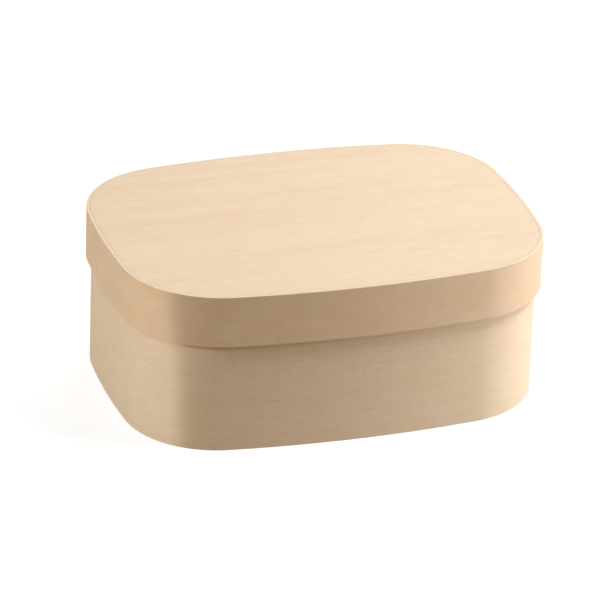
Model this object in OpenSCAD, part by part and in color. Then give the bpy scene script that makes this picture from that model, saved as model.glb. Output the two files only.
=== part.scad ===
// Bentwood box with a slip-over lid.
// Two thin strips of veneer, each bent into a closed band, hold a flat plate: one is the box, one its lid.
// Millimetres, +Z up. The origin is the middle of the underside. The long sides face -Y and +Y.

/* [Box] */
// Length of the box outside, without the lid
box_length = 156; // [130:1:220]
// Width of the box outside, without the lid
box_width = 114.7; // [95:0.1:150]
// Height of the box from the underside to the rim
box_height = 57.8; // [30:0.1:100]

/* [Plan curve] */
// Radius of the rounded corners, on the outside of the box
corner_radius = 34; // [12:0.5:45]
// Radius of the gentle bow of the two long sides
long_side_radius = 398; // [250:1:2000]
// Radius of the gentle bow of the two short sides
short_side_radius = 292; // [200:1:2000]

/* [Lid] */
// Height of the lid outside
lid_height = 19.6; // [10:0.1:28]
// Room between the lid and the lap of the box, where the box is widest
lid_clearance = 0.3; // [0.2:0.05:2]

/* [Wood] */
// Thickness of the strip that is bent into the box wall
body_band_thickness = 1.6; // [1:0.1:4]
// Thickness of the strip that is bent into the lid skirt
lid_band_thickness = 1.4; // [1:0.1:4]
// Thickness of the base plate
base_thickness = 4; // [2:0.1:8]
// Thickness of the lid plate
lid_plate_thickness = 4; // [2:0.1:8]
// Glue line between each plate and the band round it
glue_line = 0.05; // [0.02:0.01:0.2]

/* [Lap joint] */
// Length of the stretch where a band laps over its own other end
lap_length = 28; // [12:1:36]
// Distance of the lap's middle from the middle of the back
lap_offset = 20; // [-22:1:22]
// Height of the blunt step at the outer end of a lap
lap_step = 0.3; // [0.1:0.05:0.8]

/* [Hidden] */

// Straight steps that each arc of the outline is drawn with
corner_steps = 16;
long_side_steps = 12;
short_side_steps = 8;
lap_steps = 6;

// The lid plate lies on the box's rim
lid_top = box_height + lid_plate_thickness;
lid_bottom = lid_top - lid_height;

// Offsets of the wood's faces from the outside of the box
body_inside = -body_band_thickness;
lid_inside = lap_step + lid_clearance;
lid_outside = lid_inside + lid_band_thickness;

// Centres of the side arcs: the back's lies on the Y axis, the right side's on the X axis
back_centre = box_width / 2 - long_side_radius;
right_centre = box_length / 2 - short_side_radius;

// A corner's centre is where circles about the two side centres cross, so its arc meets both sides smoothly
centre_distance = norm([right_centre, back_centre]);
back_reach = long_side_radius - corner_radius;
right_reach = short_side_radius - corner_radius;
along = (back_reach ^ 2 - right_reach ^ 2 + centre_distance ^ 2) / (2 * centre_distance);
across = sqrt(back_reach ^ 2 - along ^ 2);
corner_x = (along * right_centre - across * back_centre) / centre_distance;
corner_y = back_centre - (along * back_centre + across * right_centre) / centre_distance;

// Directions in which a corner's arc begins, at the right side, and ends, at the back
right_angle = atan2(corner_y, corner_x - right_centre);
back_angle = atan2(corner_y - back_centre, corner_x);

pale_wood = "#EBD3B1";
shaded_wood = "#E0C6A2";

// Points of an arc whose radius may change steadily on the way, without its last point
function arc(centre, radius_from, radius_to, angle_from, angle_to, steps) = [
    for (i = [0 : steps - 1])
    let (t = i / steps)
    let (angle = angle_from + t * (angle_to - angle_from))
    centre + (radius_from + t * (radius_to - radius_from)) * [cos(angle), sin(angle)]
];

function round_arc(centre, radius, angle_from, angle_to, steps) =
    arc(centre, radius, radius, angle_from, angle_to, steps);

// The back with a lap: the outer end stands proud at a blunt step, and the wood thins out to nothing
function back_with_lap(radius, step) =
    let (centre = [0, back_centre])
    let (lap_from = acos((lap_offset + lap_length / 2) / radius))
    let (lap_to = acos((lap_offset - lap_length / 2) / radius))
    concat(
        round_arc(centre, radius, back_angle, lap_from, long_side_steps),
        round_arc(centre, radius, lap_from, lap_from, 1),
        arc(centre, radius + step, radius, lap_from, lap_to, lap_steps),
        round_arc(centre, radius, lap_to, 180 - back_angle, long_side_steps)
    );

// Plan of the box's outside moved outwards by offset, counter-clockwise from the right side
function plan(offset, step = 0) =
    let (long_radius = long_side_radius + offset)
    let (short_radius = short_side_radius + offset)
    let (round_radius = corner_radius + offset)
    concat(
        round_arc([right_centre, 0], short_radius, -right_angle, right_angle, short_side_steps),
        round_arc([corner_x, corner_y], round_radius, right_angle, back_angle, corner_steps),
        step > 0
            ? back_with_lap(long_radius, step)
            : round_arc([0, back_centre], long_radius, back_angle, 180 - back_angle, long_side_steps),
        round_arc([-corner_x, corner_y], round_radius, 180 - back_angle, 180 - right_angle, corner_steps),
        round_arc([-right_centre, 0], short_radius, 180 - right_angle, 180 + right_angle, short_side_steps),
        round_arc([-corner_x, -corner_y], round_radius, 180 + right_angle, 180 + back_angle, corner_steps),
        round_arc([0, -back_centre], long_radius, 180 + back_angle, 360 - back_angle, long_side_steps),
        round_arc([corner_x, -corner_y], round_radius, 360 - back_angle, 360 - right_angle, corner_steps)
    );

// A strip bent into a closed band, lapped at the back
module band(inside, outside, height) {
    linear_extrude(height)
        difference() {
            polygon(plan(outside, lap_step));
            polygon(plan(inside));
        }
}

// A flat plate glued inside a band
module plate(inside, thickness) {
    linear_extrude(thickness)
        polygon(plan(inside - glue_line));
}

module body_band() {
    color(shaded_wood)
        band(body_inside, 0, box_height);
}

module base_plate() {
    color(pale_wood)
        plate(body_inside, base_thickness);
}

module lid_band() {
    color(shaded_wood)
        translate([0, 0, lid_bottom])
            band(lid_inside, lid_outside, lid_height);
}

module lid_plate() {
    color(pale_wood)
        translate([0, 0, box_height])
            plate(lid_inside, lid_plate_thickness);
}

body_band();
base_plate();
lid_band();
lid_plate();
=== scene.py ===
import math

import bmesh
import bpy
from mathutils import Matrix, Vector


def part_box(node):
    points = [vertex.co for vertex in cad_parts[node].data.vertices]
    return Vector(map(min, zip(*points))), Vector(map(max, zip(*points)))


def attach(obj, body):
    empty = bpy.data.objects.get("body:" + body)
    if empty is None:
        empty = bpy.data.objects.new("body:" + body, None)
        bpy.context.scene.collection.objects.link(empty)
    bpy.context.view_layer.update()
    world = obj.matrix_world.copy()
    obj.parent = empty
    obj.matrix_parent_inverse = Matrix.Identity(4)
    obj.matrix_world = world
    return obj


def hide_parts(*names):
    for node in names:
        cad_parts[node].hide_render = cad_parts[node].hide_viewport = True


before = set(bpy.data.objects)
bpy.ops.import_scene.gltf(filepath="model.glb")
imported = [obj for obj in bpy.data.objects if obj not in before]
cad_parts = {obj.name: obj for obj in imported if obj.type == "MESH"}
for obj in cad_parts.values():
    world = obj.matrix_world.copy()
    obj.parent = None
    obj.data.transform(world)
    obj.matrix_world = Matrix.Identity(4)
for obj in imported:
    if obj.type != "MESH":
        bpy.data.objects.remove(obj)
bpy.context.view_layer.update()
scene = bpy.context.scene
mm = 0.001
print("frame loaded:", sorted(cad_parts))


# Plan of the box

planShape = {
    "cornerRadius": 34 * mm,        # all radii are those of the outside of the box
    "longSideRadius": 398 * mm,
    "shortSideRadius": 292 * mm,
    "pointSpacing": 1.2 * mm,       # distance between points along the outline
}

lapJoint = {
    "length": 28 * mm,              # how far a strip laps over its own other end
    "offset": 20 * mm,              # from the middle of the back to the middle of the lap
    "step": 0.3 * mm,               # how far the outer end stands proud
    "roundOver": 0.15 * mm,         # length of the outer end's softened corner
    "roundDepth": 0.6,              # how much of the step that corner takes off
    "roundSteps": 4,
    "cut": 0.02 * mm,               # width of the cut face at the outer end
}

boxLow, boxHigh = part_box("body_band")
lidLow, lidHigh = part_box("lid_band")
baseLow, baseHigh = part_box("base_plate")
topLow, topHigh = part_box("lid_plate")


# The eight arcs of the outline, moved outwards by offset, counter-clockwise from the back's right end
def planArcs(offset):
    corner = planShape["cornerRadius"]
    longSide = planShape["longSideRadius"]
    shortSide = planShape["shortSideRadius"]
    backCentre = boxHigh.y - longSide
    rightCentre = boxHigh.x - shortSide
    # a corner's centre lies where circles about the two side centres cross
    apart = math.hypot(rightCentre, backCentre)
    backReach = longSide - corner
    rightReach = shortSide - corner
    along = (backReach ** 2 - rightReach ** 2 + apart ** 2) / (2 * apart)
    across = math.sqrt(backReach ** 2 - along ** 2)
    cornerX = (along * rightCentre - across * backCentre) / apart
    cornerY = backCentre - (along * backCentre + across * rightCentre) / apart
    sideTurn = math.atan2(cornerY, cornerX - rightCentre)
    backTurn = math.atan2(cornerY - backCentre, cornerX)
    halfTurn = math.pi
    return [
        ((0, backCentre), longSide + offset, backTurn, halfTurn - backTurn),
        ((-cornerX, cornerY), corner + offset, halfTurn - backTurn, halfTurn - sideTurn),
        ((-rightCentre, 0), shortSide + offset, halfTurn - sideTurn, halfTurn + sideTurn),
        ((-cornerX, -cornerY), corner + offset, halfTurn + sideTurn, halfTurn + backTurn),
        ((0, -backCentre), longSide + offset, halfTurn + backTurn, 2 * halfTurn - backTurn),
        ((cornerX, -cornerY), corner + offset, 2 * halfTurn - backTurn, 2 * halfTurn - sideTurn),
        ((rightCentre, 0), shortSide + offset, -sideTurn, sideTurn),
        ((cornerX, cornerY), corner + offset, sideTurn, backTurn),
    ]


# A point on an arc and its outward direction
def arcPoint(centre, radius, turn):
    outward = Vector((math.cos(turn), math.sin(turn), 0))
    return Vector((*centre, 0)) + outward * radius, outward


# Points of one arc with their outward directions, without the last point
def arcPoints(centre, radius, turnFrom, turnTo):
    steps = max(2, math.ceil(abs(turnTo - turnFrom) * radius / planShape["pointSpacing"]))
    return [arcPoint(centre, radius, turnFrom + (turnTo - turnFrom) * i / steps) for i in range(steps)]


def planLoop(offset):
    return [pair for arc in planArcs(offset) for pair in arcPoints(*arc)]


# The way a strip takes: from its outer end at the lap, once round, and back under that end.
# Each point has its place, its outward direction and how far the lap lifts the outside there, from 0 to 1.
def stripWay(offset):
    arcs = planArcs(offset)
    centre, radius, backFrom, backTo = arcs[0]
    endTurn = math.acos((lapJoint["offset"] + lapJoint["length"] / 2) / radius)
    lapTurn = lapJoint["length"] / radius
    softTurn = lapJoint["roundOver"] / radius
    cutTurn = lapJoint["cut"] / radius
    softSteps = lapJoint["roundSteps"]
    lapSteps = math.ceil(lapJoint["length"] / planShape["pointSpacing"])
    way = []

    def onBack(turn, lift):
        way.append((*arcPoint(centre, radius, turn), lift))

    def plainStretch(pairs):
        way.extend((point, outward, 0.0) for point, outward in pairs)

    for i in range(softSteps):
        t = i / softSteps
        onBack(endTurn + t * softTurn, math.sqrt(1 - (1 - t) ** 2 * lapJoint["roundDepth"]))
    for i in range(lapSteps):
        t = i / lapSteps
        onBack(endTurn + softTurn + t * (lapTurn - softTurn), 1 - t)
    plainStretch(arcPoints(centre, radius, endTurn + lapTurn, backTo))
    for arc in arcs[1:]:
        plainStretch(arcPoints(*arc))
    plainStretch(arcPoints(centre, radius, backFrom, endTurn - 2 * cutTurn))
    onBack(endTurn - 2 * cutTurn, 0.0)
    onBack(endTurn - cutTurn, way[0][2])
    return way


# Node helpers

# A node with its settings and inputs, where in0, in1 and so on give an input by its number
def addNode(tree, kind, settings=None, **sockets):
    node = tree.nodes.new(kind)
    for name, value in (settings or {}).items():
        setattr(node, name, value)
    for name, value in sockets.items():
        numbered = name.startswith("in") and name[2:].isdigit()
        socket = node.inputs[int(name[2:]) if numbered else name]
        if isinstance(value, bpy.types.NodeSocket):
            tree.links.new(value, socket)
        else:
            socket.default_value = value
    return node


def calc(tree, operation, a, b=0.0, c=0.0):
    node = addNode(tree, "ShaderNodeMath", {"operation": operation}, in0=a, in1=b, in2=c)
    return node.outputs[0]


# Colour a with a share of colour b
def blend(tree, a, b, share):
    node = addNode(tree, "ShaderNodeMix", {"data_type": "RGBA"}, in0=share, in6=a, in7=b)
    return node.outputs[2]


# Bent strips

stripMaking = {
    "easePoints": 5,                # points on an eased edge
    "creaseAngle": 7,               # degrees between faces from which an edge stays sharp
}


# One tree for both strips: a profile with eased edges is swept along the strip's way,
# and the lap lifts its outside
def makeStripTree():
    tree = bpy.data.node_groups.new("bentStrip", "GeometryNodeTree")
    tree.is_modifier = True
    face = tree.interface
    face.new_socket("Way", in_out="INPUT", socket_type="NodeSocketGeometry")
    for name in ("Thickness", "Height", "Underside", "Ease Outside", "Ease Inside", "Lap Step"):
        face.new_socket(name, in_out="INPUT", socket_type="NodeSocketFloat")
    face.new_socket("Wood", in_out="INPUT", socket_type="NodeSocketMaterial")
    face.new_socket("Strip", in_out="OUTPUT", socket_type="NodeSocketGeometry")
    given = tree.nodes.new("NodeGroupInput").outputs
    result = tree.nodes.new("NodeGroupOutput")

    # profile: x runs outwards from the inner face, y runs down to the strip's lower edge
    blank = addNode(tree, "GeometryNodeCurvePrimitiveQuadrilateral", {"mode": "RECTANGLE"},
                    Width=given["Thickness"], Height=given["Height"])
    place = tree.nodes.new("GeometryNodeInputPosition").outputs[0]
    apart = addNode(tree, "ShaderNodeSeparateXYZ", in0=place)
    outer = addNode(tree, "FunctionNodeCompare", {"data_type": "FLOAT", "operation": "GREATER_THAN"},
                    in0=apart.outputs["X"])
    ease = addNode(tree, "GeometryNodeSwitch", {"input_type": "FLOAT"}, Switch=outer.outputs[0],
                   **{"False": given["Ease Inside"], "True": given["Ease Outside"]})
    eased = addNode(tree, "GeometryNodeFilletCurve", {"mode": "POLY"}, Curve=blank.outputs[0],
                    Radius=ease.outputs[0], Count=stripMaking["easePoints"])
    shift = addNode(tree, "ShaderNodeCombineXYZ",
                    X=calc(tree, "MULTIPLY", given["Thickness"], 0.5),
                    Y=calc(tree, "MULTIPLY", given["Height"], -0.5))
    profile = addNode(tree, "GeometryNodeSetPosition", Geometry=eased.outputs[0], Offset=shift.outputs[0])
    across = addNode(tree, "GeometryNodeStoreNamedAttribute", {"data_type": "FLOAT", "domain": "POINT"},
                     Geometry=profile.outputs[0], Name="acrossStrip", Value=apart.outputs["X"])

    line = addNode(tree, "GeometryNodeMeshToCurve", Mesh=given["Way"])
    upright = addNode(tree, "GeometryNodeSetCurveNormal", {"mode": "Z_UP"}, Curve=line.outputs[0])
    swept = addNode(tree, "GeometryNodeCurveToMesh", Curve=upright.outputs[0],
                    **{"Profile Curve": across.outputs[0], "Fill Caps": False})

    # lap: the outside is lifted in proportion to its place across the strip
    lift = addNode(tree, "GeometryNodeInputNamedAttribute", {"data_type": "FLOAT"}, Name="lapLift")
    outward = addNode(tree, "GeometryNodeInputNamedAttribute", {"data_type": "FLOAT_VECTOR"},
                      Name="outward")
    inset = addNode(tree, "GeometryNodeInputNamedAttribute", {"data_type": "FLOAT"}, Name="acrossStrip")
    share = calc(tree, "DIVIDE", inset.outputs[0], given["Thickness"])
    rise = calc(tree, "MULTIPLY", calc(tree, "MULTIPLY", share, lift.outputs[0]), given["Lap Step"])
    out = addNode(tree, "ShaderNodeVectorMath", {"operation": "SCALE"}, in0=outward.outputs[0], Scale=rise)
    under = addNode(tree, "ShaderNodeCombineXYZ", Z=given["Underside"])
    move = addNode(tree, "ShaderNodeVectorMath", {"operation": "ADD"},
                   in0=out.outputs[0], in1=under.outputs[0])
    lapped = addNode(tree, "GeometryNodeSetPosition", Geometry=swept.outputs[0], Offset=move.outputs[0])

    # the wood's own map: along the strip, and round its section by height and depth
    along = addNode(tree, "GeometryNodeInputNamedAttribute", {"data_type": "FLOAT"}, Name="alongStrip")
    lappedPlace = tree.nodes.new("GeometryNodeInputPosition").outputs[0]
    spot = addNode(tree, "ShaderNodeSeparateXYZ", in0=lappedPlace)
    chart = addNode(tree, "ShaderNodeCombineXYZ", X=along.outputs[0],
                    Y=calc(tree, "ADD", spot.outputs["Z"], inset.outputs[0]))
    mapped = addNode(tree, "GeometryNodeStoreNamedAttribute", {"data_type": "FLOAT2", "domain": "CORNER"},
                     Geometry=lapped.outputs[0], Name="strip", Value=chart.outputs[0])

    bend = tree.nodes.new("GeometryNodeInputMeshEdgeAngle")
    crease = addNode(tree, "FunctionNodeCompare", {"data_type": "FLOAT", "operation": "GREATER_THAN"},
                     in0=bend.outputs[0], in1=math.radians(stripMaking["creaseAngle"]))
    creased = addNode(tree, "GeometryNodeStoreNamedAttribute", {"data_type": "BOOLEAN", "domain": "EDGE"},
                      Geometry=mapped.outputs[0], Name="sharp_edge", Value=crease.outputs[0])
    smooth = addNode(tree, "GeometryNodeSetShadeSmooth", Geometry=creased.outputs[0])
    real = addNode(tree, "GeometryNodeRealizeInstances", Geometry=smooth.outputs[0])
    finished = addNode(tree, "GeometryNodeSetMaterial", Geometry=real.outputs[0], Material=given["Wood"])
    tree.links.new(finished.outputs[0], result.inputs[0])
    return tree


# The strip's way as a closed line of points that carries what the tree needs
def makeWay(name, offset):
    points, outwards, lifts = zip(*stripWay(offset))
    mesh = bpy.data.meshes.new(name)
    count = len(points)
    mesh.from_pydata(points, [(i, (i + 1) % count) for i in range(count)], [])
    travelled = [0.0]
    for here, there in zip(points, points[1:]):
        travelled.append(travelled[-1] + (there - here).length)
    flatOutwards = [part for outward in outwards for part in outward]
    mesh.attributes.new("alongStrip", "FLOAT", "POINT").data.foreach_set("value", travelled)
    mesh.attributes.new("lapLift", "FLOAT", "POINT").data.foreach_set("value", lifts)
    mesh.attributes.new("outward", "FLOAT_VECTOR", "POINT").data.foreach_set("vector", flatOutwards)
    return mesh


# A plain mesh object from what an object's modifiers make
def settle(maker, name):
    bpy.context.view_layer.update()
    graph = bpy.context.evaluated_depsgraph_get()
    made = maker.evaluated_get(graph)
    mesh = bpy.data.meshes.new_from_object(made, preserve_all_data_layers=True, depsgraph=graph)
    mesh.name = name
    bpy.data.objects.remove(maker)
    piece = bpy.data.objects.new(name, mesh)
    scene.collection.objects.link(piece)
    return piece


def makeStrip(name, tree, inside, sizes, wood):
    maker = bpy.data.objects.new(name + "Way", makeWay(name + "Way", inside))
    scene.collection.objects.link(maker)
    modifier = maker.modifiers.new("bent", "NODES")
    modifier.node_group = tree
    keys = {item.name: item.identifier for item in tree.interface.items_tree if item.in_out == "INPUT"}
    for key, value in sizes.items():
        modifier[keys[key]] = value
    modifier[keys["Wood"]] = wood
    return settle(maker, name)


# Flat plates

plateMaking = {
    "easeSteps": 4,                 # steps round an eased edge
}


# A plate with eased edges, from rings of points and two flat faces
def makePlate(name, offset, low, high, easeUnder, easeUpper, wood):
    steps = plateMaking["easeSteps"]
    turns = [math.pi / 2 * i / steps for i in range(steps + 1)]
    rings = [(easeUnder * (1 - math.sin(turn)), low + easeUnder * (1 - math.cos(turn))) for turn in turns]
    rings += [(easeUpper * (1 - math.cos(turn)), high - easeUpper * (1 - math.sin(turn))) for turn in turns]
    shape = bmesh.new()
    loops = []
    outline = planLoop(offset)
    for inset, height in rings:
        lift = Vector((0, 0, height))
        loops.append([shape.verts.new(point - outward * inset + lift) for point, outward in outline])
    for lower, upper in zip(loops, loops[1:]):
        for i in range(len(lower)):
            j = (i + 1) % len(lower)
            shape.faces.new((lower[i], lower[j], upper[j], upper[i])).smooth = True
    shape.faces.new(loops[-1])
    shape.faces.new(list(reversed(loops[0])))
    mesh = bpy.data.meshes.new(name)
    shape.to_mesh(mesh)
    shape.free()
    mesh.materials.append(wood)
    piece = bpy.data.objects.new(name, mesh)
    scene.collection.objects.link(piece)
    return piece


# Wood

# A colour given as it looks on screen, 0 to 255, in the straight values that Blender wants
def rgb(red, green, blue):
    def straight(value):
        value /= 255
        return value / 12.92 if value <= 0.04045 else ((value + 0.055) / 1.055) ** 2.4
    return (straight(red), straight(green), straight(blue), 1.0)


woodLook = {
    "streakTone": rgb(234, 198, 150),   # broad warm streaks
    "ringTone": rgb(222, 184, 138),     # the dark edge of each growth ring, and flecks
    "paleTone": rgb(246, 229, 204),     # pale fibres, sanded edges with their painted highlight, and wood that the lid covers
    "poreTone": rgb(190, 152, 110),     # pores, glue lines and the painted shade under the lid's edge
    "speckTone": rgb(142, 104, 70),
    "warmFibres": 0.40,                 # how strongly fibres and pores show
    "paleFibres": 0.22,
    "pores": 0.30,
    "roughness": 0.60,
    "roughnessSpread": 0.16,            # how much rougher the raised fibres are
    "reflection": 0.22,
    "noiseWay": (1.0, 1.7, 2.3),        # way in which the layers' noises are moved apart
}

# noise behind each layer of the grain: size along and across it, and how far the noise is moved
grain = {
    "wander": {"length": 190 * mm, "width": 26 * mm, "detail": 1.0, "roughness": 0.5, "shift": 5.3},
    "fading": {"length": 42 * mm, "width": 6 * mm, "detail": 2.0, "roughness": 0.5, "shift": 9.1},
    "streaks": {"length": 210 * mm, "width": 11 * mm, "detail": 2.0, "roughness": 0.5, "shift": 3.1},
    "mottle": {"length": 15 * mm, "width": 8 * mm, "detail": 3.0, "roughness": 0.6, "shift": 13.7},
    "flecks": {"length": 5.5 * mm, "width": 2.0 * mm, "detail": 3.0, "roughness": 0.65, "shift": 29.7},
    "fibre": {"length": 15 * mm, "width": 0.30 * mm, "detail": 2.0, "roughness": 0.6, "shift": 11.3},
    "pores": {"length": 2.4 * mm, "width": 0.11 * mm, "detail": 1.0, "roughness": 0.5, "shift": 17.9},
    "specks": {"length": 1.1 * mm, "width": 0.5 * mm, "detail": 0.0, "roughness": 0.5, "shift": 23.5},
}

# noise values between which a layer comes in
grainReach = {
    "fading": (0.34, 0.64),
    "streaks": (0.44, 0.74),
    "mottle": (0.30, 0.70),
    "flecks": (0.36, 0.64),
    "pores": (0.66, 0.76),
    "specks": (0.845, 0.875),
    "warmFibres": (0.46, 0.80),
    "paleFibres": (0.52, 0.22),
}

relief = {
    "height": 0.05 * mm,
    "strength": 0.4,
    "rings": 0.25,                  # each layer's share of the height
    "fibre": 0.55,
    "pores": -0.35,
    "waves": 0.8,
    "glueLine": -1.5,
    "waveScale": 40.0,              # slow waves in a metre
    "waveDetail": 1.0,
}


def ramp(tree, value, low, high, start=0.0, end=1.0):
    node = addNode(tree, "ShaderNodeMapRange", {"interpolation_type": "SMOOTHSTEP"}, Value=value,
                   **{"From Min": low, "From Max": high, "To Min": start, "To Max": end})
    return node.outputs[0]


def times(tree, a, b):
    return calc(tree, "MULTIPLY", a, b)


# Noise that is long along the grain
def grainNoise(tree, moved, length, width, detail, roughness, shift):
    stretched = addNode(tree, "ShaderNodeMapping", Vector=moved, Scale=(1 / length, 1 / width, 1 / width),
                        Location=tuple(shift * part for part in woodLook["noiseWay"]))
    noise = addNode(tree, "ShaderNodeTexNoise", Vector=stretched.outputs[0], Scale=1.0, Detail=detail,
                    Roughness=roughness)
    return noise.outputs["Fac"]


# How much of a layer shows at each spot, from 0 to 1
def grainLayer(tree, moved, kind):
    return ramp(tree, grainNoise(tree, moved, **grain[kind]), *grainReach[kind])


ringLine = {
    "start": 0.30,                  # share of a ring's width where its dark edge starts
    "peak": 0.90,
    "weakest": 0.25,                # strength of the faintest rings
    "tilt": 0.3,                    # how far a board's rings lean through its thickness
}


# Growth rings: lines that wander a little, each with its own strength, fading in and out
def growthRings(tree, moved, look):
    axes = addNode(tree, "ShaderNodeSeparateXYZ", in0=moved).outputs
    across = axes["Y"]
    if not look["strip"]:
        across = calc(tree, "MULTIPLY_ADD", axes["Z"], ringLine["tilt"], across)
    wander = grainNoise(tree, moved, **grain["wander"])
    spot = calc(tree, "MULTIPLY_ADD", wander, look["wander"], across)
    count = calc(tree, "DIVIDE", spot, look["ringSpacing"])
    part = calc(tree, "FRACT", count)
    rise = ramp(tree, part, ringLine["start"], ringLine["peak"])
    fall = ramp(tree, part, ringLine["peak"], 1.0, 1.0, 0.0)
    number = calc(tree, "FLOOR", count)
    own = addNode(tree, "ShaderNodeTexWhiteNoise", {"noise_dimensions": "1D"}, W=number).outputs[0]
    strength = ramp(tree, own, 0.0, 1.0, ringLine["weakest"], 1.0)
    line = times(tree, times(tree, rise, fall), strength)
    return times(tree, line, grainLayer(tree, moved, "fading"))


paleEdgeAndHighlight = {
    "start": 0.30 * mm,             # distances from the edge where the sanding and its painted highlight start and are full
    "full": 0.05 * mm,
    "lowerShare": 0.6,
    "innerShare": 0.30,
    "depth": (0.55 * mm, 1.05 * mm),
}


# A strip's cut edges are paler, partly from sanding and partly as a painted highlight, most of all at their
# outer corner
def paintPaleEdgesAndHighlight(tree, colour, up, depth, look):
    start, full = paleEdgeAndHighlight["start"], paleEdgeAndHighlight["full"]
    upper = ramp(tree, up, look["top"] - start, look["top"] - full)
    lower = ramp(tree, up, look["bottom"] + full, look["bottom"] + start, paleEdgeAndHighlight["lowerShare"], 0.0)
    outer = ramp(tree, depth, *paleEdgeAndHighlight["depth"], paleEdgeAndHighlight["innerShare"], 1.0)
    edge = times(tree, calc(tree, "ADD", upper, lower), outer)
    # paler sanded wood with a painted highlight along the cut edges
    return blend(tree, colour, woodLook["paleTone"], times(tree, edge, look["edgeAndHighlightShare"]))


glueLine = {
    "share": 0.75,
    "tip": (0.06 * mm, 0.22 * mm),  # half width of the line where the inner end stops
    "tipDepth": (0.1 * mm, 0.3 * mm),
    "end": (0.05 * mm, 0.45 * mm),  # width of the line at the outer end
    "endShare": 0.8,
}


# The lap shows as a fine glue line at its outer end, and another inside where the inner end stops
def markLap(tree, colour, height, chart, depth):
    along = addNode(tree, "ShaderNodeSeparateXYZ", in0=chart).outputs["X"]
    innerFace = ramp(tree, depth, *glueLine["tipDepth"], 1.0, 0.0)
    fromTip = calc(tree, "ABSOLUTE", calc(tree, "SUBTRACT", along, lapJoint["length"]))
    tip = times(tree, ramp(tree, fromTip, *glueLine["tip"], 1.0, 0.0), innerFace)
    end = ramp(tree, along, *glueLine["end"], glueLine["endShare"], 0.0)
    glue = calc(tree, "MAXIMUM", tip, end)
    colour = blend(tree, colour, woodLook["poreTone"], times(tree, glue, glueLine["share"]))
    return colour, calc(tree, "MULTIPLY_ADD", tip, relief["glueLine"], height)


lidCover = {
    "softness": 0.4 * mm,
    "depth": (1.1 * mm, 1.4 * mm),  # from here on out it is the wall's outside
    "dustFull": 1.2 * mm,           # how far below the lid's edge the painted shade is full, and where it ends
    "dustEnd": 2.8 * mm,
    "dustMottle": 0.6,              # how much the mottle thins it
}


# Under the lid the outside has stayed pale, below it hands and light have warmed it a little,
# and a faint uneven line of painted shade lies just under the lid's edge, where the lid shades the wall
def markLidEdge(tree, colour, up, depth, mottle, look):
    edge = look["coverLine"]
    soft = lidCover["softness"]
    outside = ramp(tree, depth, *lidCover["depth"])
    covered = times(tree, ramp(tree, up, edge - soft, edge + soft), outside)
    colour = blend(tree, colour, woodLook["paleTone"], times(tree, covered, look["coverShare"]))
    # painted shade: a faint uneven dark line just below the lid's edge, thinned here and there by the
    # mottle
    below = ramp(tree, up, edge - lidCover["dustEnd"], edge - lidCover["dustFull"])
    above = ramp(tree, up, edge, edge + soft, 1.0, 0.0)
    uneven = calc(tree, "MULTIPLY_ADD", mottle, -lidCover["dustMottle"], 1.0)
    dust = times(tree, times(tree, times(tree, below, above), outside), uneven)
    return blend(tree, colour, woodLook["poreTone"], times(tree, dust, look["dustShare"]))


# Pale wood whose grain runs along the first axis of its coordinates, in metres.
# A strip's wood follows the strip's own map, a board's wood is solid all through.
def makeWood(name, look):
    wood = bpy.data.materials.new(name)
    wood.use_nodes = True
    tree = wood.node_tree
    tree.nodes.clear()
    output = tree.nodes.new("ShaderNodeOutputMaterial")
    shader = tree.nodes.new("ShaderNodeBsdfPrincipled")
    tree.links.new(shader.outputs[0], output.inputs["Surface"])
    place = tree.nodes.new("ShaderNodeTexCoord").outputs["Object"]
    chart = addNode(tree, "ShaderNodeUVMap", {"uv_map": "strip"}).outputs[0] if look["strip"] else place
    moved = addNode(tree, "ShaderNodeMapping", Vector=chart, Location=look["shift"]).outputs[0]

    rings = growthRings(tree, moved, look)
    mottle = grainLayer(tree, moved, "mottle")
    pores = grainLayer(tree, moved, "pores")
    fibre = grainNoise(tree, moved, **grain["fibre"])
    colour = look["tone"]
    for amount, tone, share in (
        (grainLayer(tree, moved, "streaks"), "streakTone", look["streaks"]),
        (mottle, "paleTone", look["mottle"]),
        (rings, "ringTone", look["rings"]),
        (grainLayer(tree, moved, "flecks"), "ringTone", look["flecks"]),
        (ramp(tree, fibre, *grainReach["warmFibres"]), "streakTone", woodLook["warmFibres"]),
        (ramp(tree, fibre, *grainReach["paleFibres"]), "paleTone", woodLook["paleFibres"]),
        (pores, "poreTone", woodLook["pores"]),
        (grainLayer(tree, moved, "specks"), "speckTone", look["specks"]),
    ):
        colour = blend(tree, colour, woodLook[tone], times(tree, amount, share))

    waves = addNode(tree, "ShaderNodeTexNoise", Vector=moved, Scale=relief["waveScale"],
                    Detail=relief["waveDetail"]).outputs["Fac"]
    height = times(tree, fibre, relief["fibre"])
    for amount, share in ((rings, relief["rings"]), (pores, relief["pores"]), (waves, relief["waves"])):
        height = calc(tree, "MULTIPLY_ADD", amount, share, height)

    if look["strip"]:
        up = addNode(tree, "ShaderNodeSeparateXYZ", in0=place).outputs["Z"]
        depth = addNode(tree, "ShaderNodeAttribute", {"attribute_name": "acrossStrip"}).outputs["Fac"]
        colour = paintPaleEdgesAndHighlight(tree, colour, up, depth, look)
        colour, height = markLap(tree, colour, height, chart, depth)
        if "coverLine" in look:
            colour = markLidEdge(tree, colour, up, depth, mottle, look)

    roughness = calc(tree, "MULTIPLY_ADD", fibre, woodLook["roughnessSpread"], woodLook["roughness"])
    bump = addNode(tree, "ShaderNodeBump", Height=height, Strength=relief["strength"],
                   Distance=relief["height"])
    tree.links.new(colour, shader.inputs["Base Color"])
    tree.links.new(roughness, shader.inputs["Roughness"])
    tree.links.new(bump.outputs[0], shader.inputs["Normal"])
    shader.inputs["Specular IOR Level"].default_value = woodLook["reflection"]
    return wood


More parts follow.
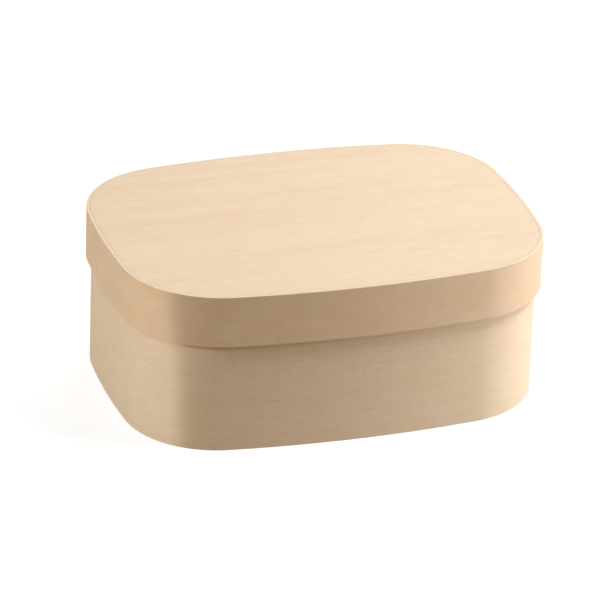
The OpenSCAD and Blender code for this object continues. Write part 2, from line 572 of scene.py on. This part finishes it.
boxVeneer = makeWood("boxVeneer", {
    "strip": True,
    "shift": (0.37, 0.53, 0.0),         # where in the tree the piece was cut
    "tone": rgb(244, 224, 194),
    "streaks": 0.12,
    "mottle": 0.28,
    "rings": 0.12,
    "flecks": 0.12,
    "ringSpacing": 2.3 * mm,
    "wander": 3.0 * mm,
    "specks": 0.60,
    "top": boxHigh.z,
    "bottom": boxLow.z,
    # strength of the pale sanded edges and their painted highlight
    "edgeAndHighlightShare": 0.60,
    "coverLine": lidLow.z,
    "coverShare": 0.20,
    # strength of the painted shade under the lid's edge
    "dustShare": 0.18,
})
lidVeneer = makeWood("lidVeneer", {
    "strip": True,
    "shift": (1.21, 0.87, 0.0),
    "tone": rgb(236, 208, 172),
    "streaks": 0.12,
    "mottle": 0.24,
    "rings": 0.12,
    "flecks": 0.12,
    "ringSpacing": 2.0 * mm,
    "wander": 3.0 * mm,
    "specks": 0.60,
    "top": lidHigh.z,
    "bottom": lidLow.z,
    # strength of the pale sanded edges and their painted highlight
    "edgeAndHighlightShare": 0.80,
})
lidBoard = makeWood("lidBoard", {
    "strip": False,
    "shift": (0.41, 0.29, 0.0),
    "tone": rgb(241, 217, 185),
    "streaks": 0.35,
    "mottle": 0.20,
    "rings": 0.16,
    "flecks": 0.12,
    "ringSpacing": 2.4 * mm,
    "wander": 4.0 * mm,
    "specks": 0.40,
})
baseBoard = makeWood("baseBoard", {
    "strip": False,
    "shift": (0.77, 0.13, 0.0),
    "tone": rgb(238, 214, 183),
    "streaks": 0.35,
    "mottle": 0.20,
    "rings": 0.20,
    "flecks": 0.12,
    "ringSpacing": 2.8 * mm,
    "wander": 4.0 * mm,
    "specks": 0.40,
})
print("woods made")


# The box and its lid

boxWall = {
    "thickness": 1.6 * mm,
    "easeOutside": 0.25 * mm,
    "easeInside": 0.20 * mm,
}
lidSkirt = {
    "thickness": 1.4 * mm,
    "easeOutside": 0.22 * mm,
    "easeInside": 0.05 * mm,
}
basePlate = {
    "easeUnder": 0.15 * mm,
    "easeUpper": 0.15 * mm,
}
lidPlate = {
    "easeUnder": 0.15 * mm,
    "easeUpper": 0.05 * mm,
}

stripTree = makeStripTree()


def dressStrip(name, node, body, sizes, low, high, wood):
    inside = high.x - boxHigh.x - sizes["thickness"]
    piece = makeStrip(name, stripTree, inside, {
        "Thickness": sizes["thickness"],
        "Height": high.z - low.z,
        "Underside": low.z,
        "Ease Outside": sizes["easeOutside"],
        "Ease Inside": sizes["easeInside"],
        "Lap Step": lapJoint["step"],
    }, wood)
    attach(piece, body)
    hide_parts(node)


def dressPlate(name, node, body, sizes, low, high, wood):
    piece = makePlate(name, high.x - boxHigh.x, low.z, high.z, sizes["easeUnder"], sizes["easeUpper"], wood)
    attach(piece, body)
    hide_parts(node)


dressStrip("boxBand", "body_band", "box", boxWall, boxLow, boxHigh, boxVeneer)
dressStrip("lidBand", "lid_band", "lid", lidSkirt, lidLow, lidHigh, lidVeneer)
dressPlate("basePlate", "base_plate", "box", basePlate, baseLow, baseHigh, baseBoard)
dressPlate("lidPlate", "lid_plate", "lid", lidPlate, topLow, topHigh, lidBoard)
print("box and lid made")


# Floor

floorLook = {
    "size": 6.0,
    "tone": rgb(160, 159, 157),     # the floor as it is seen
    "bounce": rgb(176, 157, 133),   # its tone in the light that it throws back
    "glow": 0.82,                   # what is seen on top of the lit floor
}


# 1 for what the camera sees, straight or in a reflection, and 0 for scattered light
def seenShare(tree):
    path = tree.nodes.new("ShaderNodeLightPath").outputs
    straight = calc(tree, "MAXIMUM", path["Is Camera Ray"], path["Is Glossy Ray"])
    return calc(tree, "MAXIMUM", straight, path["Is Transmission Ray"])


def makeFloor():
    half = floorLook["size"] / 2
    corners = [(-half, -half, 0), (half, -half, 0), (half, half, 0), (-half, half, 0)]
    mesh = bpy.data.meshes.new("floor")
    mesh.from_pydata(corners, [], [(0, 1, 2, 3)])
    floor = bpy.data.objects.new("floor", mesh)
    scene.collection.objects.link(floor)
    paint = bpy.data.materials.new("floorPaint")
    paint.use_nodes = True
    tree = paint.node_tree
    tree.nodes.clear()
    output = tree.nodes.new("ShaderNodeOutputMaterial")
    seen = seenShare(tree)
    tone = blend(tree, floorLook["bounce"], floorLook["tone"], seen)
    matte = addNode(tree, "ShaderNodeBsdfDiffuse", Color=tone)
    glow = addNode(tree, "ShaderNodeEmission", Color=(1, 1, 1, 1),
                   Strength=calc(tree, "MULTIPLY", seen, floorLook["glow"]))
    both = addNode(tree, "ShaderNodeAddShader", in0=matte.outputs[0], in1=glow.outputs[0])
    tree.links.new(both.outputs[0], output.inputs["Surface"])
    mesh.materials.append(paint)


makeFloor()


# Light

# each lamp: place and aim in metres, size of the soft box, power in watts, colour;
# a lamp with a cone, in degrees, is a spot, and its rim is the soft share of the cone
lamps = {
    "key": {
        "place": (0.45, -0.22, 0.8),
        "aim": (0, 0, 0.04),
        "size": (0.3, 0.2),
        "power": 5.3,
        "colour": (1, 0.99, 1),
    },
    "sideRight": {
        "place": (0.24, -0.13, 0.03),
        "aim": (0.06, -0.03, 0.02),
        "size": (0.16, 0.04),
        "power": 0.298,
        "colour": (0.86, 0.89, 1),
    },
    "backRight": {
        "place": (0.5, 0.9, 0.45),
        "aim": (0, 0, 0.03),
        "size": (0.5, 0.4),
        "power": 7.3,
        "colour": (0.99, 0.99, 1),
    },
    "left": {
        "place": (-1, -0.05, 0.35),
        "aim": (0, 0, 0.04),
        "size": (0.2, 0.3),
        "power": 3.85,
        "colour": (1, 0.98, 0.97),
    },
    "leftHigh": {
        "place": (-0.35, -0.65, 0.85),
        "aim": (0, 0, 0.04),
        "size": (0.4, 0.3),
        "power": 1.58,
        "colour": (1, 0.96, 0.93),
    },
    "leftFlagged": {
        "place": (-0.7649, -0.9116, 0.12),
        "aim": (-0.4009, 0.1397, 0.011),
        "size": (0.004, 0.004),
        "power": 9.8,
        "colour": (1, 0.98, 0.99),
        "cone": 40,
        "rim": 0.026,
    },
}


def makeLamp(name, place, aim, size, power, colour, cone=None, rim=0.0):
    light = bpy.data.lights.new(name, "SPOT" if cone else "AREA")
    if cone:
        light.spot_size = math.radians(cone)
        light.spot_blend = rim
        light.shadow_soft_size = size[0]
    else:
        light.shape = "RECTANGLE"
        light.size, light.size_y = size
    light.energy = power
    light.color = colour
    lamp = bpy.data.objects.new(name, light)
    lamp.location = place
    lamp.rotation_euler = (Vector(aim) - Vector(place)).to_track_quat("-Z", "Y").to_euler()
    scene.collection.objects.link(lamp)


# White where it is seen, and no light from it
def makeWorld():
    world = bpy.data.worlds.new("studio")
    scene.world = world
    world.use_nodes = True
    tree = world.node_tree
    tree.nodes.clear()
    output = tree.nodes.new("ShaderNodeOutputWorld")
    sky = addNode(tree, "ShaderNodeBackground", Color=(1, 1, 1, 1), Strength=seenShare(tree))
    tree.links.new(sky.outputs[0], output.inputs["Surface"])


for lampName, lampSetting in lamps.items():
    makeLamp(lampName, **lampSetting)
makeWorld()
scene.view_settings.view_transform = "Standard"
print("floor and light made")


# Camera at the photograph's angle

view = {
    "azimuth": -18.28,              # degrees round from the front
    "elevation": 26.02,             # degrees above the floor
    "roll": -2.0,                   # degrees that the picture is turned
    "aim": Vector((-4.4, 0.0, 29.0)) * mm,
    "distance": 1764 * mm,
    "lens": 288.0,
    "sensor": 36.0,
    "sight": 20.0,                  # metres that the camera sees
}


def makeCamera():
    data = bpy.data.cameras.new("camera")
    data.lens = view["lens"]
    data.sensor_width = view["sensor"]
    data.clip_end = view["sight"]
    camera = bpy.data.objects.new("camera", data)
    scene.collection.objects.link(camera)
    azimuth = math.radians(view["azimuth"])
    elevation = math.radians(view["elevation"])
    roll = math.radians(view["roll"])
    level = Vector((math.cos(azimuth), math.sin(azimuth), 0))
    towards = Vector((math.sin(azimuth), -math.cos(azimuth), 0))
    back = towards * math.cos(elevation) + Vector((0, 0, math.sin(elevation)))
    upright = back.cross(level)
    right = level * math.cos(roll) - upright * math.sin(roll)
    up = level * math.sin(roll) + upright * math.cos(roll)
    turn = Matrix((right, up, back)).transposed().to_4x4()
    camera.matrix_world = Matrix.Translation(view["aim"] + back * view["distance"]) @ turn
    scene.camera = camera


makeCamera()
print("camera placed")
